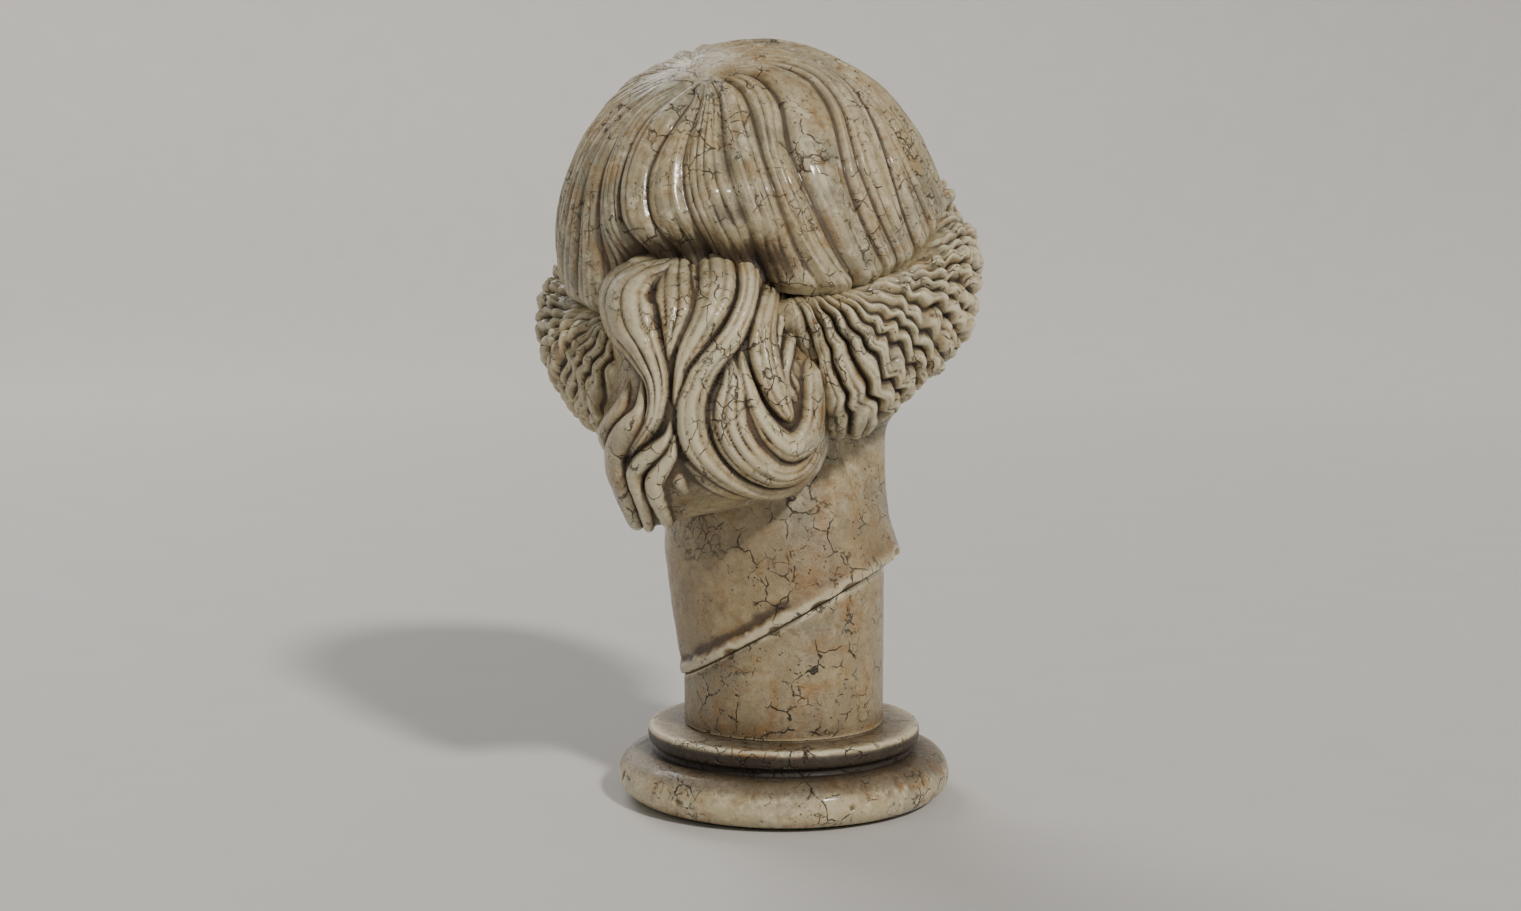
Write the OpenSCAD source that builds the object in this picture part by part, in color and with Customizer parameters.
// Antique marble head of a goddess, mounted on a turned marble socle.
// The origin is the centre of the resting face, +Z is up and the face looks along -Y.

/* [Socle] */
// Radius of the rounded foot moulding
foot_r = 83.5; // [75:0.5:90]
// Height of the rounded foot moulding
foot_h = 22; // [18:0.5:24]
// Radius of the flat step above the foot
step_r = 68.5; // [60:0.5:72]
// Height of the step's top face above the table
socle_top = 36.5; // [34:0.5:40]
// Thickness of the felt ring under the socle
felt_t = 1.5; // [1:0.25:3]

/* [Neck support] */
// Radius of the cylindrical support under the neck
shaft_r = 50.5; // [46:0.5:54]
// Height at which the oblique joint crosses the central axis
joint_h = 88; // [84:1:96]
// Slope of the oblique joint, rising towards the head's right shoulder
joint_tilt = 29.7; // [20:0.1:32]
// Thickness of the mortar beds
bed_t = 1.2; // [0.8:0.1:2]

/* [Head] */
// Sideways lean of the head and neck towards the left shoulder
head_lean = 6; // [0:0.5:8]
// Radius of the skull with its combed hair, side to side
crown_w = 95; // [88:1:98]
// Radius of the skull with its combed hair, front to back
crown_l = 108; // [100:1:112]
// Reach of the wavy side hair from the middle of the head
roll_reach = 112; // [106:1:114]
// Half width of the looped knot of hair at the nape
knot_w = 54; // [46:1:58]

/* [Fixings] */
// Diameter of the tie rod
rod_d = 12; // [10:1:14]
// Height of the tie rod's top end inside the neck
rod_top = 196; // [160:1:210]
// Diameter of the recess for the nut under the socle
recess_d = 34; // [32:1:36]
// Depth of that recess
recess_h = 21; // [19:0.5:22]
// Diameter of the locating dowels
dowel_d = 8; // [6:1:10]
// Length of the locating dowels
dowel_l = 34; // [24:1:40]

/* [Hidden] */

marble = [0.72, 0.67, 0.56];
mortar = [0.62, 0.57, 0.48];
steel = [0.70, 0.70, 0.72];
resin = [0.80, 0.74, 0.56];
felt = [0.20, 0.28, 0.22];

$fn = 96;
slack = 0.05;                      // free space round a pin in its hole
rod_hole_d = rod_d + 2;            // clearance hole through shaft and socle
sleeve_d = rod_d + 6;              // hole drilled in the neck, filled by the sleeve
dowel_ring = 33;                   // dowels stand this far from the axis
joint_low = joint_h - 90;          // far below the joint, for the cutting block
skull = [15, 0, 275];              // middle of the skull
shaft_foot = socle_top + bed_t;    // underside of the shaft

// The head is one radial surface round the neck and skull line.
// Each mass of the head: [centre, half sizes], in the head's own upright frame.
roll_t = 45;        // half thickness of the wavy side hair, most of it inside the head
masses = [
    [[0, 0, 2], [crown_w, crown_l, 98]],                      // skull and combed hair
    [[0, -38, -42], [64, 64, 92]],                            // face
    [[0, -30, -88], [54, 52, 38]],                            // jaw
    [[0, -83, -112], [21, 17, 14]],                           // chin
    [[0, -91, -26], [9, 15, 34]],                             // bridge of the nose
    [[0, -101, -56], [14, 17, 10]],                           // tip of the nose
    [[0, -89, -80], [25, 14, 12]],                            // lips
    [[-(roll_reach - roll_t), -18, -32], [roll_t, 72, 55]],   // wavy hair, right side
    [[roll_reach - roll_t, -18, -32], [roll_t, 72, 55]],      // wavy hair, left side
    [[-38, -62, 40], [46, 44, 26]],                           // wavy hair over the brow, right
    [[38, -62, 40], [46, 44, 26]],                            // wavy hair over the brow, left
    [[0, 30, -66], [62, 60, 44]],                             // hair drawn down to the nape
    [[0, 72, -62], [knot_w, 52, 60]],                         // looped knot
    [[0, 66, -96], [knot_w - 6, 48, 32]]                      // hanging lower part of the knot
];

soft = 0.3;         // sharpness of the blend between two masses, per mm
neck_low = -228;    // the surface starts here, below the joint
head_top = 100;     // and ends here
ring_n = 68;
side_n = 78;

// Distance from p along the flat direction d to the far side of a mass, or 0 where it misses.
function reach(p, d, m) =
    let (q = [for (i = [0:2]) (p[i] - m[0][i]) / m[1][i]],
         v = [for (i = [0:2]) d[i] / m[1][i]],
         b = q * v,
         disc = b * b - (v * v) * (q * q - 1))
    disc < 0 ? 0 : max(0, (sqrt(disc) - b) / (v * v));

// The neck is an oval column that widens downwards, and stops inside the skull.
function neck_reach(z, a) =
    z > -40 ? 0 :
    let (down = (-70 - z) / 100,
         flare = 1 + 0.13 * pow(max(0, down), 1.6),
         w = 49.5 * flare,
         l = 53 * flare)
    1 / sqrt(pow(sin(a) / w, 2) + pow(cos(a) / l, 2));

// Centre line from which every ring is measured.
function centre(z) = [2.5 * min(1, max(0, -z / 150)), z < -60 ? 2 : 2 - 2 * min(1, (z + 60) / 60), z];

function head_reach(z, a) =
    let (p = centre(z),
         d = [sin(a), -cos(a), 0],
         all = concat([for (m = masses) reach(p, d, m)], [neck_reach(z, a)]),
         top = max(all))
    top + ln(sum([for (r = all) exp(soft * (r - top))])) / soft - ln(1.02) / soft;

function sum(v, i = 0) = i == len(v) ? 0 : v[i] + sum(v, i + 1);

// Ring heights: even up to the brow, then closing in on the crown.
function ring_z(i) =
    let (even_n = ring_n - 16,
         brow = 56)
    i < even_n ? neck_low + (brow - neck_low) * i / even_n
               : brow + (head_top - brow) * sin(90 * (i - even_n) / 16);

module head_form() {
    rings = [for (i = [0:ring_n - 1])
        let (z = ring_z(i), p = centre(z))
        [for (k = [0:side_n - 1])
            let (a = 360 * k / side_n, r = head_reach(z, a))
            [p[0] + r * sin(a), p[1] - r * cos(a), z]]];
    last = ring_n - 1;
    points = concat([for (ring = rings) each ring], [centre(neck_low), [0, 0, head_top]]);
    low = ring_n * side_n;
    high = low + 1;
    faces = concat(
        [for (i = [0:last - 1], k = [0:side_n - 1])
            let (n = (k + 1) % side_n)
            each [[i * side_n + k, (i + 1) * side_n + k, (i + 1) * side_n + n],
                  [i * side_n + k, (i + 1) * side_n + n, i * side_n + n]]],
        [for (k = [0:side_n - 1]) [low, k, (k + 1) % side_n]],
        [for (k = [0:side_n - 1]) [high, last * side_n + (k + 1) % side_n, last * side_n + k]]);
    polyhedron(points, faces);
}

// Everything below the oblique joint, moved up by lift along the joint's normal.
module below_joint(lift = 0) {
    translate([0, 0, joint_h])
        rotate([0, joint_tilt, 0])
            translate([-150, -150, lift - 200])
                cube([300, 300, 200]);
}

// Locating dowels stand front and back of the rod, on the joint.
module dowel_pair(z, d, l) {
    for (side = [-1, 1])
        translate([0, side * dowel_ring, z - l / 2])
            cylinder(h = l, d = d);
}

module head() {
    color(marble)
    difference() {
        translate(skull)
            rotate([0, head_lean, 0])
                head_form();
        below_joint(bed_t);
        translate([0, 0, joint_low])
            cylinder(h = rod_top - joint_low + 1, d = sleeve_d);
        dowel_pair(joint_h, dowel_d + 2 * slack, dowel_l + 1);
    }
}

module neck_bed() {
    color(mortar)
    difference() {
        intersection() {
            cylinder(h = 200, r = shaft_r - 0.6);
            below_joint(bed_t);
        }
        below_joint(0);
        cylinder(h = 200, d = sleeve_d);
        dowel_pair(joint_h, dowel_d + 2 * slack, dowel_l + 1);
    }
}

module neck_dowels() {
    color(steel)
        dowel_pair(joint_h, dowel_d, dowel_l);
}

// Set resin that bonds the rod's upper end into the neck, starting above the joint.
module rod_sleeve() {
    color(resin)
    difference() {
        translate([0, 0, joint_h + 8])
            cylinder(h = rod_top + 1 - joint_h - 8, d = sleeve_d);
        translate([0, 0, joint_h - 1])
            cylinder(h = rod_top - joint_h + 1, d = rod_d);
    }
}

module shaft() {
    color(marble)
    difference() {
        intersection() {
            translate([0, 0, shaft_foot])
                cylinder(h = 200, r = shaft_r);
            below_joint(0);
        }
        cylinder(h = 200, d = rod_hole_d);
        dowel_pair(joint_h, dowel_d + 2 * slack, dowel_l + 1);
        dowel_pair(shaft_foot, dowel_d + 2 * slack, dowel_l * 0.7 + 1);
    }
}

module shaft_bed() {
    color(mortar)
    difference() {
        translate([0, 0, socle_top])
            cylinder(h = bed_t, r = shaft_r - 0.8);
        cylinder(h = 200, d = rod_hole_d);
        dowel_pair(shaft_foot, dowel_d + 2 * slack, dowel_l * 0.7 + 1);
    }
}

module shaft_dowels() {
    color(steel)
        dowel_pair(shaft_foot, dowel_d, dowel_l * 0.7);
}

// Turned profile: rounded foot, narrow neck, and a step with a flat top.
module socle_profile() {
    round_r = foot_h / 2;
    step_h = 8.5;
    difference() {
        union() {
            square([foot_r - round_r, socle_top - felt_t]);
            translate([foot_r - round_r, round_r])
                circle(r = round_r);
        }
        translate([step_r - 1.5, foot_h - 1.5])
            square([40, 40]);
    }
    translate([0, socle_top - felt_t - step_h])
        square([step_r - 2, step_h]);
    translate([step_r - 2, socle_top - felt_t - step_h / 2])
        intersection() {
            circle(r = step_h / 2);
            translate([-step_h, -step_h])
                square([2 * step_h - 2, 2 * step_h]);
        }
}

module socle() {
    color(marble)
    difference() {
        translate([0, 0, felt_t])
            rotate_extrude()
                socle_profile();
        cylinder(h = 200, d = rod_hole_d);
        translate([0, 0, -1])
            cylinder(h = felt_t + recess_h + 1, d = recess_d);
        dowel_pair(shaft_foot, dowel_d + 2 * slack, dowel_l * 0.7 + 1);
    }
}

recess_roof = felt_t + recess_h;   // face that the washer bears on
washer_t = 2.5;
lock_t = 2.6;
nut_h = 10;
nut_af = 19;
rod_foot = recess_roof - washer_t - lock_t - nut_h - 4;

module tie_rod() {
    color(steel)
    translate([0, 0, rod_foot]) {
        cylinder(h = 1, d1 = rod_d - 2, d2 = rod_d);
        translate([0, 0, 1])
            cylinder(h = rod_top - rod_foot - 1, d = rod_d);
    }
}

module rod_washer() {
    color(steel)
    translate([0, 0, recess_roof - washer_t])
        difference() {
            cylinder(h = washer_t, d = recess_d - 6);
            translate([0, 0, -1])
                cylinder(h = washer_t + 2, d = rod_d + 1);
        }
}

// Split spring washer.
module lock_washer() {
    color(steel)
    translate([0, 0, recess_roof - washer_t - lock_t])
        difference() {
            cylinder(h = lock_t, d = rod_d + 9);
            translate([0, 0, -1])
                cylinder(h = lock_t + 2, d = rod_d + 0.4);
            translate([0, -0.8, -1])
                cube([20, 1.6, lock_t + 2]);
        }
}

module rod_nut() {
    color(steel)
    translate([0, 0, recess_roof - washer_t - lock_t - nut_h])
        difference() {
            cylinder(h = nut_h, r = nut_af / sqrt(3), $fn = 6);
            translate([0, 0, -1])
                cylinder(h = nut_h + 2, d = rod_d + 2 * slack);
        }
}

module felt_ring() {
    color(felt)
    difference() {
        cylinder(h = felt_t, r = foot_r - foot_h / 2 - 1);
        translate([0, 0, -1])
            cylinder(h = felt_t + 2, d = recess_d);
    }
}

head();
neck_bed();
neck_dowels();
rod_sleeve();
shaft();
shaft_bed();
shaft_dowels();
socle();
tie_rod();
rod_washer();
lock_washer();
rod_nut();
felt_ring();
